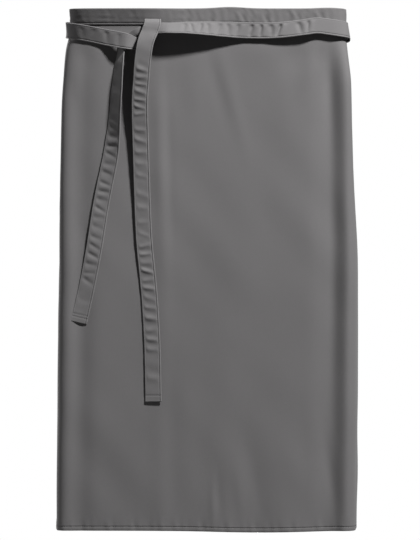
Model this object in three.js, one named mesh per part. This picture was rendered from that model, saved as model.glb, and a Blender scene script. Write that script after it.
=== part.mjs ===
// A waist apron as it is worn: a wide cloth wrapped round the waist and open at the back,
// with a waistband over its top edge and two ties that cross behind, come round the sides
// and are tied in a half knot at the front.
// Millimetres. +X is to the right of the front, which faces -Y, and +Z is up.
// The origin is the middle of the waist opening, at half the height of the waistband.

import * as THREE from 'three';

// Driving sizes of the cloth
const apronLength = 800;
const clothWidth = 950;
const clothWall = 1.2;
const bandHeight = 25;
const bandWall = 1.2;
const bandBevel = 0.8;
const bandFrontReach = 128;
const bandSideReach = 256;
const hemHeight = 8;
const sideHemWidth = 12;
const hemWall = 1.2;
const seamGap = 0.3;

// Driving sizes of the form that the cloth takes round the wearer
const waistHalfWidth = 211;
const waistFrontDepth = 60;
const waistBackDepth = 108;
const hemHalfWidth = 230;
const hemFrontDepth = 67;
const hemBackDepth = 124;
const frontSquareness = 8;
const backSquareness = 2.3;
const foldDepth = 9;

// Driving sizes of the ties and their knot
const tieWidth = 25;
const tieWall = 1.6;
const tieGap = 0.5;
const tieSewnLength = 25;
const knotToLeft = 87;
const knotDrop = 21;
const longTailLength = 569;
const shortTailLength = 448;

// Fineness of the faceted cloth
const columnCount = 74;
const tieStep = 9;
const tieTurnStep = THREE.MathUtils.degToRad(16);

const bandTop = bandHeight / 2;
const hemZ = bandTop - apronLength;
const bandOuter = seamGap + bandWall;
const onPanel = tieGap + tieWall / 2;
const onBand = bandOuter + onPanel;
const tieLayer = tieWall + tieGap;

// How the wrapped cloth opens out. drop is a share of the apron's length, spread leads from
// the waist's section (0) to the hem's (1), and sway is a share of the hem's half width.
const sections = [
  { drop: 0.00, spread: 0.00, sway: 0.008 },
  { drop: 0.04, spread: 0.04, sway: 0.006 },
  { drop: 0.08, spread: 0.29, sway: -0.003 },
  { drop: 0.14, spread: 0.40, sway: -0.004 },
  { drop: 0.27, spread: 0.66, sway: 0.000 },
  { drop: 0.37, spread: 0.84, sway: 0.002 },
  { drop: 0.46, spread: 0.95, sway: 0.009 },
  { drop: 0.56, spread: 0.98, sway: 0.006 },
  { drop: 0.75, spread: 1.00, sway: 0.000 },
  { drop: 1.00, spread: 1.00, sway: -0.006 },
];

// Long soft folds. at and reach are shares of half the cloth's width, out is a share of
// foldDepth, and the fold grows between the drops from and full and leans by drift.
const folds = [
  { at: 0.39, reach: 0.04, out: -0.40, from: 0.05, full: 0.15, drift: 0.00 },
  { at: 0.45, reach: 0.025, out: 0.90, from: 0.05, full: 0.15, drift: 0.00 },
  { at: -0.40, reach: 0.03, out: -0.20, from: 0.05, full: 0.15, drift: 0.00 },
  { at: -0.46, reach: 0.025, out: 0.60, from: 0.05, full: 0.20, drift: 0.00 },
  { at: -0.150, reach: 0.035, out: 0.18, from: 0.06, full: 0.20, drift: 0.01 },
  { at: 0.040, reach: 0.060, out: 0.22, from: 0.45, full: 0.95, drift: 0.02 },
  { at: 0.230, reach: 0.070, out: 0.26, from: 0.35, full: 0.95, drift: 0.02 },
  { at: -0.280, reach: 0.080, out: -0.20, from: 0.30, full: 0.90, drift: -0.01 },
  { at: 0.640, reach: 0.055, out: 0.70, from: 0.08, full: 0.80, drift: 0.03 },
  { at: 0.790, reach: 0.060, out: -0.75, from: 0.10, full: 0.90, drift: 0.02 },
  { at: 0.920, reach: 0.060, out: 0.80, from: 0.12, full: 1.00, drift: 0.01 },
  { at: -0.660, reach: 0.060, out: 0.65, from: 0.08, full: 0.80, drift: -0.03 },
  { at: -0.800, reach: 0.055, out: -0.80, from: 0.10, full: 0.90, drift: -0.02 },
  { at: -0.930, reach: 0.060, out: 0.75, from: 0.12, full: 1.00, drift: -0.01 },
];

// Places where the top edge stands a little higher: shares of half the cloth's width,
// and of the band's height
const waistRises = [
  { at: 0.070, reach: 0.060, up: 0.09 },
  { at: 0.390, reach: 0.050, up: 0.05 },
  { at: -0.900, reach: 0.120, up: 0.04 },
];

// The ties' routes. Near the knot along and up are tie widths from the knot's middle, to the
// right and up. out is how many tie widths a tie stands off from where it would lie on the
// waistband, over as many other ties as layer counts. Both ties' edges keep one order: with
// turn 0 the tie runs level with its upper edge up, and with turn 90 it runs up or down.
// lean tips the upper edge in towards the cloth and the lower edge out, in degrees, and width
// is the share of the tie's width that is left where the knot gathers it.
const shortTieKnot = [
  { along: 3.00, up: 0.13, out: 0.36, layer: 0.0, turn: 0, lean: 40, width: 1.00 },
  { along: 2.00, up: 0.18, out: 0.39, layer: 0.5, turn: 0, lean: 46, width: 1.00 },
  { along: 1.15, up: 0.18, out: 0.41, layer: 1.0, turn: 0, lean: 47, width: 1.00 },
  { along: 0.80, up: 0.16, out: 0.36, layer: 1.0, turn: 0, lean: 42, width: 0.96 },
  { along: 0.45, up: 0.13, out: 0.24, layer: 1.0, turn: 0, lean: 28, width: 0.84 },
  { along: 0.00, up: 0.09, out: 0.17, layer: 1.0, turn: 4, lean: 16, width: 0.66 },
  { along: -0.45, up: 0.02, out: 0.15, layer: 1.0, turn: 12, lean: 8, width: 0.48 },
  { along: -0.85, up: -0.10, out: 0.16, layer: 0.8, turn: 26, lean: 4, width: 0.40 },
  { along: -1.20, up: -0.33, out: 0.12, layer: 0.0, turn: 42, lean: 4, width: 0.42 },
  { along: -1.50, up: -0.66, out: 0.08, layer: 0.0, turn: 58, lean: 6, width: 0.52 },
  { along: -1.72, up: -1.02, out: 0.09, layer: 0.0, turn: 74, lean: 10, width: 0.66 },
];

const longTieKnot = [
  { along: -3.60, up: -0.26, out: 0.01, layer: 0.0, turn: 0, lean: 0, width: 1.00 },
  { along: -2.95, up: -0.38, out: 0.13, layer: 0.0, turn: 0, lean: 0, width: 1.00 },
  { along: -2.45, up: -0.48, out: 0.26, layer: 0.5, turn: 0, lean: 0, width: 1.00 },
  { along: -1.95, up: -0.58, out: 0.37, layer: 1.0, turn: 0, lean: 0, width: 1.00 },
  { along: -1.45, up: -0.70, out: 0.40, layer: 1.0, turn: 0, lean: 0, width: 0.96 },
  { along: -1.00, up: -0.80, out: 0.27, layer: 0.5, turn: 4, lean: 0, width: 0.80 },
  { along: -0.60, up: -0.77, out: 0.11, layer: 0.0, turn: 22, lean: 0, width: 0.66 },
  { along: -0.24, up: -0.50, out: 0.03, layer: 0.0, turn: 52, lean: 0, width: 0.62 },
  { along: -0.02, up: -0.10, out: 0.01, layer: 0.0, turn: 78, lean: 0, width: 0.66 },
  { along: 0.07, up: 0.26, out: 0.01, layer: 0.0, turn: 89, lean: 0, width: 0.84 },
  { along: 0.09, up: 0.54, out: 0.05, layer: 0.0, turn: 90, lean: 0, width: 1.00 },
  { along: 0.10, up: 0.72, out: 0.14, layer: 0.5, turn: 90, lean: 0, width: 1.00 },
  { along: 0.10, up: 0.70, out: 0.30, layer: 1.0, turn: 90, lean: 0, width: 1.00 },
  { along: 0.10, up: 0.50, out: 0.40, layer: 2.0, turn: 90, lean: 0, width: 1.00 },
  { along: 0.08, up: 0.24, out: 0.52, layer: 2.0, turn: 90, lean: 0, width: 1.00 },
  { along: 0.02, up: -0.06, out: 0.62, layer: 2.0, turn: 90, lean: 0, width: 1.00 },
  { along: -0.06, up: -0.40, out: 0.70, layer: 2.0, turn: 90, lean: 0, width: 1.00 },
];

// The tails below the knot. down is a share of the tail's length. along is tie widths from the
// knot's middle, and out is tie widths from where the tail would lie on the panel.
const shortTail = [
  { down: 0.082, along: -1.85, out: 0.18, turn: 86, lean: 20, width: 0.82 },
  { down: 0.120, along: -1.92, out: 0.32, turn: 90, lean: 38, width: 0.96 },
  { down: 0.205, along: -2.00, out: 0.41, turn: 91, lean: 48, width: 1.00 },
  { down: 0.290, along: -2.12, out: 0.35, turn: 92, lean: 44, width: 1.00 },
  { down: 0.360, along: -2.25, out: 0.25, turn: 93, lean: 32, width: 1.00 },
  { down: 0.435, along: -2.43, out: 0.15, turn: 96, lean: 16, width: 1.00 },
  { down: 0.530, along: -2.78, out: 0.08, turn: 100, lean: 6, width: 1.00 },
  { down: 0.625, along: -3.12, out: 0.05, turn: 101, lean: 1, width: 1.00 },
  { down: 0.750, along: -3.52, out: 0.04, turn: 100, lean: 0, width: 1.00 },
  { down: 0.870, along: -3.92, out: 0.04, turn: 100, lean: 0, width: 1.00 },
  { down: 0.960, along: -4.26, out: 0.06, turn: 100, lean: 0, width: 1.00 },
  { down: 1.000, along: -4.42, out: 0.11, turn: 100, lean: 0, width: 1.00 },
];

const longTail = [
  { down: 0.034, along: -0.18, out: 0.84, turn: 90, lean: 0, width: 1.00 },
  { down: 0.086, along: -0.36, out: 0.80, turn: 89, lean: 2, width: 1.00 },
  { down: 0.134, along: -0.50, out: 0.70, turn: 90, lean: 4, width: 1.00 },
  { down: 0.196, along: -0.60, out: 0.54, turn: 90, lean: 5, width: 1.00 },
  { down: 0.298, along: -0.58, out: 0.31, turn: 90, lean: 4, width: 1.00 },
  { down: 0.435, along: -0.50, out: 0.16, turn: 90, lean: 2, width: 1.00 },
  { down: 0.564, along: -0.44, out: 0.08, turn: 89, lean: 0, width: 1.00 },
  { down: 0.645, along: -0.27, out: 0.05, turn: 87, lean: 0, width: 1.00 },
  { down: 0.726, along: -0.08, out: 0.04, turn: 87, lean: 0, width: 1.00 },
  { down: 0.847, along: 0.10, out: 0.04, turn: 89, lean: 0, width: 1.00 },
  { down: 0.960, along: 0.18, out: 0.05, turn: 89, lean: 0, width: 1.00 },
  { down: 1.000, along: 0.20, out: 0.08, turn: 89, lean: 0, width: 1.00 },
];

// The ties round the front, the sides and the back. round is a share of the way from the knot
// (0) to the side (1), on to the panel's back edge (2) and to the tie's sewn end (3).
// up is in tie widths from the knot's middle, layer counts ties that lie under this one.
const shortTieRound = [
  { round: 3.00, up: 0.84, layer: 0, lean: 0 },
  { round: 2.80, up: 0.84, layer: 0, lean: 0 },
  { round: 2.62, up: 0.70, layer: 0, lean: 0 },
  { round: 2.35, up: 0.15, layer: 0, lean: 3 },
  { round: 2.10, up: -0.25, layer: 0, lean: 5 },
  { round: 1.90, up: -0.32, layer: 0, lean: 6 },
  { round: 1.50, up: -0.22, layer: 0, lean: 8 },
  { round: 1.10, up: -0.12, layer: 0, lean: 9 },
  { round: 0.90, up: 0.00, layer: 0, lean: 9 },
  { round: 0.80, up: 0.18, layer: 0, lean: 12 },
  { round: 0.735, up: 0.28, layer: 0, lean: 18 },
  { round: 0.675, up: 0.17, layer: 0, lean: 30 },
  { round: 0.585, up: 0.02, layer: 0, lean: 30 },
  { round: 0.500, up: -0.03, layer: 0, lean: 16 },
  { round: 0.405, up: -0.01, layer: 0, lean: 8 },
  { round: 0.315, up: 0.05, layer: 0, lean: 24 },
];

const longTieRound = [
  { round: 3.00, up: 0.84, layer: 0, lean: 0 },
  { round: 2.80, up: 0.84, layer: 0.4, lean: 0 },
  { round: 2.60, up: 0.86, layer: 1.4, lean: 0 },
  { round: 2.20, up: 0.86, layer: 1.6, lean: 0 },
  { round: 1.95, up: 0.84, layer: 1.3, lean: 0 },
  { round: 1.85, up: 0.78, layer: 1.1, lean: 0 },
  { round: 1.65, up: 0.56, layer: 0.3, lean: 3 },
  { round: 1.40, up: 0.30, layer: 0, lean: 6 },
  { round: 1.15, up: 0.10, layer: 0, lean: 9 },
  { round: 0.92, up: 0.02, layer: 0, lean: 9 },
  { round: 0.72, up: -0.06, layer: 0, lean: 6 },
];

// A smooth value between the rows of a table, by finite-difference slopes
function between(rows, key, column, at) {
  const last = rows.length - 1;
  let i = 0;
  while (i < last - 1 && at > rows[i + 1][key]) i += 1;
  const a = rows[i];
  const b = rows[i + 1];
  const span = b[key] - a[key];
  const t = THREE.MathUtils.clamp((at - a[key]) / span, 0, 1);
  const before = rows[Math.max(i - 1, 0)];
  const after = rows[Math.min(i + 2, last)];
  const slopeA = (b[column] - before[column]) / (b[key] - before[key]) * span;
  const slopeB = (after[column] - a[column]) / (after[key] - a[key]) * span;
  const rise = b[column] - a[column];
  return a[column] + t * (slopeA + t * (3 * rise - 2 * slopeA - slopeB + t * (slopeA + slopeB - 2 * rise)));
}

function bell(distance, reach) {
  return Math.exp(-((distance / reach) ** 2));
}

// Half a wrapped section at one height, as a squared oval, from the front's middle to the back's
const sectionSteps = 360;
const knownSections = new Map();

function section(z) {
  const key = z.toFixed(3);
  if (knownSections.has(key)) return knownSections.get(key);
  const drop = THREE.MathUtils.clamp((bandTop - z) / apronLength, 0, 1);
  const spread = between(sections, 'drop', 'spread', drop);
  const halfWidth = THREE.MathUtils.lerp(waistHalfWidth, hemHalfWidth, spread);
  const frontDepth = THREE.MathUtils.lerp(waistFrontDepth, hemFrontDepth, spread);
  const backDepth = THREE.MathUtils.lerp(waistBackDepth, hemBackDepth, spread);
  const points = [];
  const lengths = [0];
  for (let i = 0; i <= sectionSteps; i += 1) {
    const angle = Math.PI * i / sectionSteps;
    const front = i <= sectionSteps / 2;
    const power = front ? frontSquareness : backSquareness;
    const depth = front ? frontDepth : backDepth;
    const across = Math.abs(Math.sin(angle) / halfWidth) ** power;
    const deep = Math.abs(Math.cos(angle) / depth) ** power;
    const radius = (across + deep) ** (-1 / power);
    points.push(new THREE.Vector2(radius * Math.sin(angle), -radius * Math.cos(angle)));
    if (i > 0) lengths.push(lengths[i - 1] + points[i].distanceTo(points[i - 1]));
  }
  const sway = between(sections, 'drop', 'sway', drop) * hemHalfWidth;
  const half = { points, lengths, halfLength: lengths[sectionSteps], sway, drop };
  half.sideLength = lengths[sectionSteps / 2];
  knownSections.set(key, half);
  return half;
}

// Where a section runs at a length from the front's middle, and which way faces out there
function onSection(half, length) {
  const { points, lengths } = half;
  let low = 0;
  let high = sectionSteps;
  while (high - low > 1) {
    const middle = (low + high) >> 1;
    if (lengths[middle] <= length) low = middle;
    else high = middle;
  }
  const share = (length - lengths[low]) / (lengths[high] - lengths[low]);
  const spot = points[low].clone().lerp(points[high], share);
  const slopeAt = (i) => {
    const ahead = points[Math.min(i + 1, sectionSteps)];
    return ahead.clone().sub(points[Math.max(i - 1, 0)]).normalize();
  };
  const run = slopeAt(low).lerp(slopeAt(high), share).normalize();
  return { spot, facing: new THREE.Vector2(run.y, -run.x) };
}

function foldAt(length, drop) {
  const place = length / (clothWidth / 2);
  let out = 0;
  for (const fold of folds) {
    const grown = THREE.MathUtils.smoothstep(drop, fold.from, fold.full);
    out += fold.out * foldDepth * grown * bell(place - fold.at - fold.drift * drop, fold.reach);
  }
  return out;
}

// A point at a length round the cloth from the front's middle, right being positive,
// at a height, and standing out from the cloth's outer face
function onCloth(length, z, out) {
  const half = section(z);
  let round = length;
  if (round > half.halfLength) round -= 2 * half.halfLength;
  if (round < -half.halfLength) round += 2 * half.halfLength;
  const { spot, facing } = onSection(half, Math.abs(round));
  const side = round < 0 ? -1 : 1;
  const stand = out + foldAt(round, half.drop);
  return new THREE.Vector3(
    side * (spot.x + facing.x * stand) + half.sway,
    spot.y + facing.y * stand,
    z,
  );
}

function waistRise(length) {
  const place = length / (clothWidth / 2);
  let share = 0;
  for (const rise of waistRises) share += rise.up * bell(place - rise.at, rise.reach);
  return share * bandHeight;
}

// One closed body from rings of points, each ring a closed outline, with flat ends.
// capPlan is the ring's outline in its own plane.
function loft(rings, capPlan) {
  const count = rings[0].length;
  const positions = rings.flat().flatMap((point) => point.toArray());
  const index = [];
  for (let i = 0; i < rings.length - 1; i += 1) {
    for (let k = 0; k < count; k += 1) {
      const next = (k + 1) % count;
      const a = i * count + k;
      const b = i * count + next;
      index.push(a, b, a + count, b, b + count, a + count);
    }
  }
  const last = (rings.length - 1) * count;
  for (const [p, q, r] of THREE.ShapeUtils.triangulateShape(capPlan, [])) {
    const clockwise = THREE.ShapeUtils.area([capPlan[p], capPlan[q], capPlan[r]]) < 0
      === THREE.ShapeUtils.area(capPlan) < 0;
    const face = clockwise ? [p, r, q] : [p, q, r];
    index.push(...face);
    index.push(last + face[0], last + face[2], last + face[1]);
  }
  return closedBody(positions, index);
}

// Turns every face of a closed body outwards and returns its geometry
function closedBody(positions, index) {
  const at = (i) => new THREE.Vector3().fromArray(positions, 3 * i);
  let volume = 0;
  for (let i = 0; i < index.length; i += 3) {
    volume += at(index[i]).dot(at(index[i + 1]).cross(at(index[i + 2])));
  }
  const faces = volume > 0 ? index : index.slice().reverse();
  const geometry = new THREE.BufferGeometry();
  geometry.setAttribute('position', new THREE.Float32BufferAttribute(positions, 3));
  geometry.setIndex(faces);
  geometry.computeVertexNormals();
  return geometry;
}

// A cloth layer between two depths: its columns run down the cloth, its rows across it
function clothLayer(columns, rowsAt, outer, inner) {
  const rows = rowsAt(columns[0]).length;
  const positions = [];
  for (const depth of [outer, inner]) {
    for (const length of columns) {
      for (const z of rowsAt(length)) positions.push(...onCloth(length, z, depth).toArray());
    }
  }
  const face = columns.length * rows;
  const index = [];
  const quad = (a, b, c, d) => index.push(a, b, c, a, c, d);
  for (let i = 0; i < columns.length - 1; i += 1) {
    for (let j = 0; j < rows - 1; j += 1) {
      const a = i * rows + j;
      quad(a, a + 1, a + rows + 1, a + rows);
      quad(face + a, face + a + rows, face + a + rows + 1, face + a + 1);
    }
    const top = i * rows;
    const foot = top + rows - 1;
    quad(top, top + rows, face + top + rows, face + top);
    quad(foot + rows, foot, face + foot, face + foot + rows);
  }
  const end = (columns.length - 1) * rows;
  for (let j = 0; j < rows - 1; j += 1) {
    quad(j + 1, j, face + j, face + j + 1);
    quad(end + j, end + j + 1, face + end + j + 1, face + end + j);
  }
  return closedBody(positions, index);
}

// The columns of the cloth, shared by the panel and all that is sewn to it
const halfCloth = clothWidth / 2;
const innerHalf = halfCloth - sideHemWidth;
const columns = [-halfCloth];
for (let i = 0; i <= columnCount; i += 1) {
  columns.push(THREE.MathUtils.lerp(-innerHalf, innerHalf, i / columnCount));
}
columns.push(halfCloth);

const panelDrops = [0.05, 0.08, 0.115, 0.16, 0.215, 0.28, 0.35, 0.42, 0.5, 0.58, 0.66, 0.74, 0.82, 0.9, 0.95];
const panelTop = (length) => bandTop + waistRise(length) - bandWall - seamGap;
const hemTop = hemZ + hemHeight;

function panelRows(length) {
  const bandFoot = waistRise(length) - bandHeight / 2;
  const levels = panelDrops.map((drop) => bandTop - drop * apronLength);
  const inside = levels.filter((z) => z < -bandHeight && z > hemTop);
  return [panelTop(length), bandFoot, ...inside, hemTop, hemZ];
}

function apronPanel() {
  return clothLayer(columns, panelRows, 0, -clothWall);
}

// The waistband is one strip, a channel over the panel's top edge. It is made in five pieces
// that each bend one way. They meet a seam's gap apart, at the columns nearest to their reaches.
function nearestColumn(length) {
  return columns.reduce((best, at) => (Math.abs(at - length) < Math.abs(best - length) ? at : best));
}

const bandJoints = [-bandSideReach, -bandFrontReach, bandFrontReach, bandSideReach].map(nearestColumn);
const bandStarts = [-halfCloth, ...bandJoints.map((length) => length + seamGap / 2)];
const bandEnds = [...bandJoints.map((length) => length - seamGap / 2), halfCloth];

function waistbandPiece(start, end) {
  const inFace = -clothWall - seamGap;
  const inBack = inFace - bandWall;
  const profile = [
    new THREE.Vector2(bandOuter, -bandHeight / 2),
    new THREE.Vector2(bandOuter, bandTop - bandBevel),
    new THREE.Vector2(bandOuter - bandBevel, bandTop),
    new THREE.Vector2(inBack + bandBevel, bandTop),
    new THREE.Vector2(inBack, bandTop - bandBevel),
    new THREE.Vector2(inBack, -bandHeight / 2),
    new THREE.Vector2(inFace, -bandHeight / 2),
    new THREE.Vector2(inFace, bandTop - bandWall),
    new THREE.Vector2(seamGap, bandTop - bandWall),
    new THREE.Vector2(seamGap, -bandHeight / 2),
  ];
  const inside = columns.filter((length) => length > start + seamGap && length < end - seamGap);
  const rings = [start, ...inside, end].map((length) => profile.map(
    (corner) => onCloth(length, corner.y + waistRise(length), corner.x),
  ));
  return loft(rings, profile);
}

const turnedFace = -clothWall - seamGap;

function bottomHem() {
  return clothLayer(columns, () => [hemTop, hemZ], turnedFace, turnedFace - hemWall);
}

function sideHem(side) {
  const edges = [side * innerHalf, side * halfCloth].sort((a, b) => a - b);
  const rows = (length) => {
    const own = panelRows(length);
    own[0] = own[1] - seamGap;
    own.splice(1, 1);
    own[own.length - 2] = hemTop + seamGap;
    own.pop();
    return own;
  };
  return clothLayer(edges, rows, turnedFace, turnedFace - hemWall);
}

// A tie's places, from the table rows, as lengths round the cloth, heights and stand-offs
const waist = section(-knotDrop);
const sideRound = waist.sideLength;
const backGap = 2 * (waist.halfLength - halfCloth);

function roundPlaces(rows, side) {
  const knotRound = -knotToLeft;
  const marks = [
    knotRound,
    side * sideRound,
    side * halfCloth,
    side * (halfCloth + backGap + tieSewnLength),
  ];
  return rows.map(({ round, up, layer, lean }) => {
    const part = Math.min(Math.floor(round), 2);
    const tip = Math.sin(THREE.MathUtils.degToRad(lean)) / 2;
    return {
      length: THREE.MathUtils.lerp(marks[part], marks[part + 1], round - part),
      z: up * tieWidth - knotDrop,
      out: onBand + layer * tieLayer + tip * tieWidth,
      turn: 0,
      lean,
      width: 1,
    };
  });
}

function knotPlaces(rows) {
  return rows.map(({ along, up, out, layer, turn, lean, width }) => ({
    length: along * tieWidth - knotToLeft,
    z: up * tieWidth - knotDrop,
    out: onBand + layer * tieLayer + out * tieWidth,
    turn,
    lean,
    width,
  }));
}

function tailPlaces(rows, tailLength) {
  return rows.map(({ down, along, out, turn, lean, width }) => ({
    length: along * tieWidth - knotToLeft,
    z: -knotDrop - down * tailLength,
    out: onPanel + out * tieWidth,
    turn,
    lean,
    width,
  }));
}

// The way from a tie's lower edge to its upper one, for a place on the cloth
function acrossAt(place) {
  const step = 1;
  const here = onCloth(place.length, place.z, place.out);
  const right = onCloth(place.length + step, place.z, place.out).sub(here).normalize();
  const out = onCloth(place.length, place.z, place.out + step).sub(here).normalize();
  const turn = THREE.MathUtils.degToRad(place.turn);
  const lean = THREE.MathUtils.degToRad(place.lean);
  return new THREE.Vector3(0, 0, Math.cos(turn) * Math.cos(lean))
    .addScaledVector(right, -Math.sin(turn) * Math.cos(lean))
    .addScaledVector(out, -Math.sin(lean));
}

// One tie: a flat band that follows its places, with a ring wherever it has run one step
// or turned by one angle
function tie(places) {
  const route = new THREE.CatmullRomCurve3(
    places.map(({ length, z, out }) => new THREE.Vector3(length, z, out)),
    false,
    'catmullrom',
    0.5,
  );
  const poses = new THREE.CatmullRomCurve3(
    places.map(({ turn, lean, width }) => new THREE.Vector3(turn, lean, width)),
    false,
    'catmullrom',
    0.5,
  );
  const samples = [];
  const sampleCount = 16 * (places.length - 1);
  for (let i = 0; i <= sampleCount; i += 1) {
    const spot = route.getPoint(i / sampleCount);
    const pose = poses.getPoint(i / sampleCount);
    const place = { length: spot.x, z: spot.y, out: spot.z, turn: pose.x, lean: pose.y };
    const middle = onCloth(place.length, place.z, place.out);
    samples.push({ middle, across: acrossAt(place), width: pose.z });
  }
  samples.forEach((sample, i) => {
    const ahead = samples[Math.min(i + 1, sampleCount)].middle;
    const behind = samples[Math.max(i - 1, 0)].middle;
    sample.run = ahead.clone().sub(behind).normalize();
    sample.across.addScaledVector(sample.run, -sample.across.dot(sample.run)).normalize();
  });
  const rings = [tieRing(samples[0])];
  let kept = samples[0];
  let travelled = 0;
  for (let i = 1; i < samples.length; i += 1) {
    travelled += samples[i].middle.distanceTo(samples[i - 1].middle);
    const bent = samples[i].run.angleTo(kept.run) + samples[i].across.angleTo(kept.across);
    if (travelled >= tieStep || bent >= tieTurnStep || i === sampleCount) {
      rings.push(tieRing(samples[i]));
      kept = samples[i];
      travelled = 0;
    }
  }
  const plan = [[-1, -1], [1, -1], [1, 1], [-1, 1]].map(
    ([x, y]) => new THREE.Vector2(x * tieWall / 2, y * tieWidth / 2),
  );
  return loft(rings, plan);
}

function tieRing({ middle, across, run, width }) {
  const thick = run.clone().cross(across).normalize();
  return [[-1, -1], [1, -1], [1, 1], [-1, 1]].map(([t, w]) => middle.clone()
    .addScaledVector(thick, t * tieWall / 2)
    .addScaledVector(across, w * width * tieWidth / 2));
}

function shortTie() {
  return tie([
    ...roundPlaces(shortTieRound, 1),
    ...knotPlaces(shortTieKnot),
    ...tailPlaces(shortTail, shortTailLength),
  ]);
}

function longTie() {
  return tie([
    ...roundPlaces(longTieRound, -1),
    ...knotPlaces(longTieKnot),
    ...tailPlaces(longTail, longTailLength),
  ]);
}

// Materials: one grey twill, a shade darker where it is folded double
const twillGrey = new THREE.Color(0x737172);
const seamGrey = new THREE.Color(0x696768);

function cloth(color) {
  return new THREE.MeshStandardMaterial({ color, roughness: 0.9, metalness: 0, side: THREE.FrontSide });
}

const apron = new THREE.Group();

function add(name, geometry, color) {
  const mesh = new THREE.Mesh(geometry, cloth(color));
  mesh.name = name;
  apron.add(mesh);
}

add('apron_panel', apronPanel(), twillGrey);
['back_left', 'side_left', 'front', 'side_right', 'back_right'].forEach((place, i) => {
  add(`waistband_${place}`, waistbandPiece(bandStarts[i], bandEnds[i]), seamGrey);
});
add('bottom_hem', bottomHem(), seamGrey);
add('side_hem_left', sideHem(-1), seamGrey);
add('side_hem_right', sideHem(1), seamGrey);
add('tie_short_tail', shortTie(), twillGrey);
add('tie_long_tail', longTie(), twillGrey);

export default apron;
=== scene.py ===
# %% [markdown]
# # A waist apron, dressed in Blender
# The apron is one wide piece of grey twill that hangs from a waistband and is wrapped round the
# waist, open at the back. Two ties cross behind, come round the sides and are knotted in front.
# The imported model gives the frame: its pieces say where everything is. This lesson replaces
# its plain cloth walls by fine ones, with folds, puckered seams, stitches and a woven finish.

# %% Load the frame
import math

import bpy
import numpy as np
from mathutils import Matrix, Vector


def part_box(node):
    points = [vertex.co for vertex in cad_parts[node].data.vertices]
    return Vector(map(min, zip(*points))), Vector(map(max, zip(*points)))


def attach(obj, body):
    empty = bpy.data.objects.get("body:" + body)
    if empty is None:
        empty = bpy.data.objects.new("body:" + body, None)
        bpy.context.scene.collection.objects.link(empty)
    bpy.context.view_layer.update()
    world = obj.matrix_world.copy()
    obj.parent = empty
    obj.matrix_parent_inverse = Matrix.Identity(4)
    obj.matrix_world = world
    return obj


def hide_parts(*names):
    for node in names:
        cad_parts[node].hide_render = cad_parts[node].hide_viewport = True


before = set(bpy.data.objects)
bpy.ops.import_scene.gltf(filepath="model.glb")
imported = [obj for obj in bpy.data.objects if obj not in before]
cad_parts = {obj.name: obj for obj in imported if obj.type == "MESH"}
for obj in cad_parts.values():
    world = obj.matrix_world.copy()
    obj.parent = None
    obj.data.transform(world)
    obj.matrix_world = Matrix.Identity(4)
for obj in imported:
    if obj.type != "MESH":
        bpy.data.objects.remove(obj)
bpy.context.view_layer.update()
print("nodes:", sorted(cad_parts))

# %% [markdown]
# ## The camera
# The photograph looks straight at the front through a long lens: the sides of the form don't
# show, and the upper and lower edges bulge by only a pixel or two. A camera eight metres away
# gives the same bulge. Its lens follows from the size that one pixel covers on the front face.

# %% Camera
MM = 0.001
PIXEL = 1.5314 * MM
PICTURE_HEIGHT = 540
CAMERA_DISTANCE = 8.0
FRONT_FACE = 62 * MM
AIM_X = 4.6 * MM
AIM_Z = -388.3 * MM
SENSOR = 36.0

camera_data = bpy.data.cameras.new("camera")
camera_data.sensor_width = SENSOR
camera_data.lens = SENSOR * (CAMERA_DISTANCE - FRONT_FACE) / (PICTURE_HEIGHT * PIXEL)
camera_data.clip_end = 100.0
camera = bpy.data.objects.new("camera", camera_data)
camera.location = (AIM_X, -CAMERA_DISTANCE, AIM_Z)
camera.rotation_euler = (math.radians(90), 0, 0)
bpy.context.scene.collection.objects.link(camera)
bpy.context.scene.camera = camera
print("lens", round(camera_data.lens, 1), "mm")

# %% [markdown]
# ## The sizes
# The frame says how low the hem hangs. The other sizes are the cut sizes of the cloth and the
# form that it takes round the wearer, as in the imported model, so that each fine piece lies where
# its plain one does.

# %% Sizes
BAND_PLACES = ("back_left", "side_left", "front", "side_right", "back_right")
BAND_NODES = ["waistband_" + place for place in BAND_PLACES]
band_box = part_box("waistband_front")
panel_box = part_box("apron_panel")
HEM_Z = panel_box[0].z
BAND_HEIGHT = 25 * MM
BAND_TOP = BAND_HEIGHT / 2
BAND_FOOT = -BAND_HEIGHT / 2
APRON_LENGTH = BAND_TOP - HEM_Z
CLOTH_WIDTH = 950 * MM
HALF_CLOTH = CLOTH_WIDTH / 2
CLOTH_WALL = 1.2 * MM
SEAM_GAP = 0.3 * MM
HEM_HEIGHT = 8 * MM
SIDE_HEM_WIDTH = 12 * MM

WAIST = {"half_width": 211 * MM, "front_depth": 60 * MM, "back_depth": 108 * MM}
HEM = {"half_width": 230 * MM, "front_depth": 67 * MM, "back_depth": 124 * MM}
FRONT_SQUARENESS = 8
BACK_SQUARENESS = 2.3
FOLD_DEPTH = 9 * MM

TIE_WIDTH = 25 * MM
TIE_WALL = 1.6 * MM
TIE_GAP = 0.5 * MM
TIE_SEWN_LENGTH = 25 * MM
KNOT_TO_LEFT = 87 * MM
KNOT_DROP = 21 * MM
LONG_TAIL_LENGTH = 569 * MM
SHORT_TAIL_LENGTH = 448 * MM
print("apron length", round(APRON_LENGTH, 4), "m")
print("front of the waistband", [round(v, 4) for v in band_box[1] - band_box[0]], "m")

# %% [markdown]
# ## The form that the cloth hangs in
# A wrapped cloth could be simulated, but the photograph fixes its outline, so it is drawn
# instead. At each height the cloth runs along a squared oval: nearly flat in front, rounder
# behind. The table says how quickly the waist's oval opens into the hem's, and how much the
# cloth sways to one side. Folds then push the cloth in and out along its own facing.

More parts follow.
